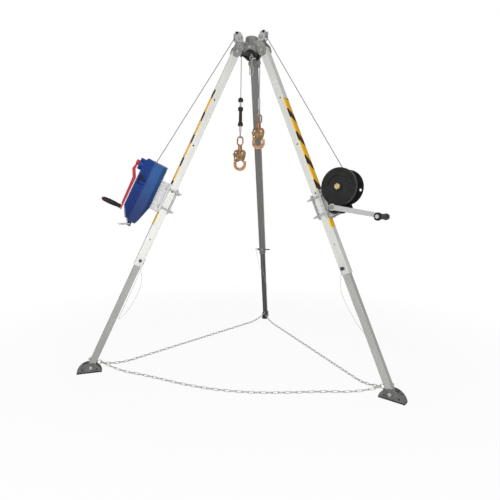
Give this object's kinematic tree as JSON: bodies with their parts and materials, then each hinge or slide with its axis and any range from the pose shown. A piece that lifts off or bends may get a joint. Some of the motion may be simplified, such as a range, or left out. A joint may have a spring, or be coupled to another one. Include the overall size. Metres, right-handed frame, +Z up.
{
  "type": "rescue tripod",
  "caption": "Rescue tripod with folding telescopic legs, hinged feet, floor chains, a geared hand winch, a retrieval block and cables over sheaves to swivel snap hooks.",
  "frame": {"origin": "middle of the overall outline, on the floor", "axes": "+Z up; the rear leg points to +Y, the other two legs to the front left (-X) and the front right (+X)"},
  "size_m": [1.8862, 1.7487, 2.1127],
  "materials": {
    "cast_alloy": "matt casting",
    "leg_alloy": "mill finish",
    "inner_leg_alloy": "brushed",
    "zinc_steel": "galvanised",
    "chain_steel": "galvanised",
    "sheave_steel": "turned",
    "shoe_steel": "weathered",
    "gear_steel": "oiled",
    "sole_rubber": "matt",
    "grip_rubber": "satin",
    "black_plastic": "matt",
    "pin_steel": "dark blue finish",
    "cable_steel": "stranded wire",
    "black_paint": "semi-gloss",
    "brass": "satin",
    "blue_casing": "gloss",
    "red_paint": "gloss",
    "gold_zinc": "yellow passivated"
  },
  "bodies": {
    "head": {"head_casting": "cast_alloy", "head_fittings": "zinc_steel", "pulley_brackets": "zinc_steel", "keeper_caps": "black_plastic", "winch_cable": "cable_steel", "block_cable": "cable_steel"},
    "left_sheave": {"left_sheave": "sheave_steel"},
    "right_sheave": {"right_sheave": "sheave_steel"},
    "left_upper": {"left_upper_leg": "leg_alloy", "left_lanyard": "cable_steel", "block_clamp": "zinc_steel", "block_bracket": "zinc_steel", "block_back_shell": "blue_casing", "block_front_shell": "blue_casing"},
    "left_lower": {"left_lower_leg": "inner_leg_alloy", "left_leg_fittings": "zinc_steel", "front_chain": "chain_steel"},
    "left_foot": {"left_foot_shoe": "shoe_steel", "left_foot_sole": "sole_rubber"},
    "left_pin": {"left_lock_pin": "pin_steel"},
    "right_upper": {"right_upper_leg": "leg_alloy", "right_lanyard": "cable_steel", "winch_clamp": "zinc_steel", "winch_frame": "black_paint", "winch_cover": "black_paint", "winch_bolts": "brass"},
    "right_lower": {"right_lower_leg": "inner_leg_alloy", "right_leg_fittings": "zinc_steel", "right_chain": "chain_steel"},
    "right_foot": {"right_foot_shoe": "shoe_steel", "right_foot_sole": "sole_rubber"},
    "right_pin": {"right_lock_pin": "pin_steel"},
    "rear_upper": {"rear_upper_leg": "leg_alloy", "rear_lanyard": "cable_steel"},
    "rear_lower": {"rear_lower_leg": "inner_leg_alloy", "rear_leg_fittings": "zinc_steel", "left_chain": "chain_steel"},
    "rear_foot": {"rear_foot_shoe": "shoe_steel", "rear_foot_sole": "sole_rubber"},
    "rear_pin": {"rear_lock_pin": "pin_steel"},
    "winch_drum": {"winch_drum": "black_paint", "winch_gear": "gear_steel", "winch_winding": "cable_steel"},
    "winch_crank": {"winch_pinion": "gear_steel", "winch_crank": "zinc_steel"},
    "winch_grip": {"winch_grip": "grip_rubber"},
    "winch_line": {"winch_cable_end": "zinc_steel", "winch_hook_eye": "gold_zinc"},
    "winch_hook": {"winch_hook": "gold_zinc"},
    "winch_gate": {"winch_hook_gate": "gold_zinc"},
    "block_crank": {"block_crank": "red_paint"},
    "block_grip": {"block_grip": "grip_rubber"},
    "block_lever": {"block_lever": "black_plastic"},
    "block_bail": {"block_bail": "zinc_steel"},
    "block_line": {"block_cable_end": "zinc_steel", "block_cable_stop": "black_plastic", "block_cable_spring": "zinc_steel", "block_hook_eye": "gold_zinc"},
    "block_hook": {"block_hook": "gold_zinc"},
    "block_gate": {"block_hook_gate": "gold_zinc"}
  },
  "joints": [
    {"name": "left_leg_fold", "type": "hinge", "parent": "head", "child": "left_upper", "pos_m": [-0.09613, -0.25745, 1.982], "axis": [0.5, -0.866, 0], "range_deg": [0, 20], "deforming": ["front_chain", "left_chain", "block_cable"]},
    {"name": "left_leg_slide", "type": "slide", "parent": "left_upper", "child": "left_lower", "axis": [0.3591, 0.2073, 0.91], "range_m": [0, 0.46], "deforming": ["front_chain", "left_chain", "left_lanyard"]},
    {"name": "left_foot_tilt", "type": "hinge", "parent": "left_lower", "child": "left_foot", "pos_m": [-0.86455, -0.7011, 0.035], "axis": [0.5, -0.866, 0], "range_deg": [-40, 25]},
    {"name": "left_pin_pull", "type": "slide", "parent": "left_upper", "child": "left_pin", "axis": [0.5, -0.866, 0], "range_m": [0, 0.1], "deforming": ["left_lanyard"]},
    {"name": "right_leg_fold", "type": "hinge", "parent": "head", "child": "right_upper", "pos_m": [0.09613, -0.25745, 1.982], "axis": [0.5, 0.866, 0], "range_deg": [0, 20], "deforming": ["front_chain", "right_chain", "winch_cable"]},
    {"name": "right_leg_slide", "type": "slide", "parent": "right_upper", "child": "right_lower", "axis": [-0.3591, 0.2073, 0.91], "range_m": [0, 0.46], "deforming": ["front_chain", "right_chain", "right_lanyard"]},
    {"name": "right_foot_tilt", "type": "hinge", "parent": "right_lower", "child": "right_foot", "pos_m": [0.86455, -0.7011, 0.035], "axis": [0.5, 0.866, 0], "range_deg": [-40, 25]},
    {"name": "right_pin_pull", "type": "slide", "parent": "right_upper", "child": "right_pin", "axis": [-0.5, -0.866, 0], "range_m": [0, 0.1], "deforming": ["right_lanyard"]},
    {"name": "rear_leg_fold", "type": "hinge", "parent": "head", "child": "rear_upper", "pos_m": [0, -0.09095, 1.982], "axis": [-1, 0, 0], "range_deg": [0, 20], "deforming": ["right_chain", "left_chain"]},
    {"name": "rear_leg_slide", "type": "slide", "parent": "rear_upper", "child": "rear_lower", "axis": [0, -0.4147, 0.91], "range_m": [0, 0.46], "deforming": ["right_chain", "left_chain", "rear_lanyard"]},
    {"name": "rear_foot_tilt", "type": "hinge", "parent": "rear_lower", "child": "rear_foot", "pos_m": [0, 0.79635, 0.035], "axis": [-1, 0, 0], "range_deg": [-40, 25]},
    {"name": "rear_pin_pull", "type": "slide", "parent": "rear_upper", "child": "rear_pin", "axis": [-1, 0, 0], "range_m": [0, 0.1], "deforming": ["rear_lanyard"]},
    {"name": "winch_crank_turn", "type": "hinge", "parent": "right_upper", "child": "winch_crank", "pos_m": [0.57195, -0.53216, 1.00707], "axis": [0.5, 0.866, 0], "range_deg": [-1100, 7000], "deforming": ["winch_cable"]},
    {"name": "winch_drum_spin", "type": "hinge", "parent": "right_upper", "child": "winch_drum", "pos_m": [0.58739, -0.54108, 1.12069], "axis": [0.5, 0.866, 0], "range_deg": [-1710, 275]},
    {"name": "winch_grip_spin", "type": "hinge", "parent": "winch_crank", "child": "winch_grip", "pos_m": [0.75784, -0.81269, 0.95936], "axis": [0.5, 0.866, 0], "continuous": true},
    {"name": "right_sheave_spin", "type": "hinge", "parent": "head", "child": "right_sheave", "pos_m": [0.07967, -0.24795, 2.075], "axis": [0.5, 0.866, 0], "range_deg": [-3110, 495]},
    {"name": "winch_hook_travel", "type": "slide", "parent": "head", "child": "winch_line", "axis": [0, 0, 1], "range_m": [-1.2, 0.2], "deforming": ["winch_cable"]},
    {"name": "winch_hook_swivel", "type": "hinge", "parent": "winch_line", "child": "winch_hook", "pos_m": [0.06062, -0.23695, 1.525], "axis": [0, 0, 1], "continuous": true},
    {"name": "winch_gate_open", "type": "hinge", "parent": "winch_hook", "child": "winch_gate", "pos_m": [0.07762, -0.23695, 1.499], "axis": [0, 1, 0], "range_deg": [0, 35], "stiffness_Nm_per_rad": 0.15, "springref_deg": -17.19},
    {"name": "block_hook_travel", "type": "slide", "parent": "head", "child": "block_line", "axis": [0, 0, 1], "range_m": [-1, 0.2], "deforming": ["block_cable"]},
    {"name": "left_sheave_spin", "type": "hinge", "parent": "head", "child": "left_sheave", "pos_m": [-0.07967, -0.24795, 2.075], "axis": [0.5, -0.866, 0], "range_deg": [-2610, 525]},
    {"name": "block_hook_swivel", "type": "hinge", "parent": "block_line", "child": "block_hook", "pos_m": [-0.06062, -0.23695, 1.388], "axis": [0, 0, 1], "continuous": true},
    {"name": "block_gate_open", "type": "hinge", "parent": "block_hook", "child": "block_gate", "pos_m": [-0.04362, -0.23695, 1.362], "axis": [0, 1, 0], "range_deg": [0, 35], "stiffness_Nm_per_rad": 0.15, "springref_deg": -17.19},
    {"name": "block_crank_turn", "type": "hinge", "parent": "left_upper", "child": "block_crank", "pos_m": [-0.58559, -0.56314, 1.24699], "axis": [-0.788, -0.455, 0.4147], "continuous": true},
    {"name": "block_grip_spin", "type": "hinge", "parent": "block_crank", "child": "block_grip", "pos_m": [-0.74167, -0.65325, 1.02032], "axis": [-0.788, -0.455, 0.4147], "continuous": true},
    {"name": "block_lever_turn", "type": "hinge", "parent": "left_upper", "child": "block_lever", "pos_m": [-0.57451, -0.63468, 1.14133], "axis": [-0.788, -0.455, 0.4147], "range_deg": [-60, 20]},
    {"name": "block_bail_swing", "type": "hinge", "parent": "left_upper", "child": "block_bail", "pos_m": [-0.66792, -0.58757, 0.89492], "axis": [0.5, -0.866, 0], "range_deg": [-20, 100]}
  ],
  "couplings": [
    {"joint": "winch_drum_spin", "follows": "winch_crank_turn", "ratio": -0.24324},
    {"joint": "right_sheave_spin", "follows": "winch_crank_turn", "ratio": -0.44226},
    {"joint": "winch_hook_travel", "follows": "winch_crank_turn", "m_per_rad": -0.0097297},
    {"joint": "left_sheave_spin", "follows": "block_hook_travel", "rad_per_m": 45.455}
  ]
}
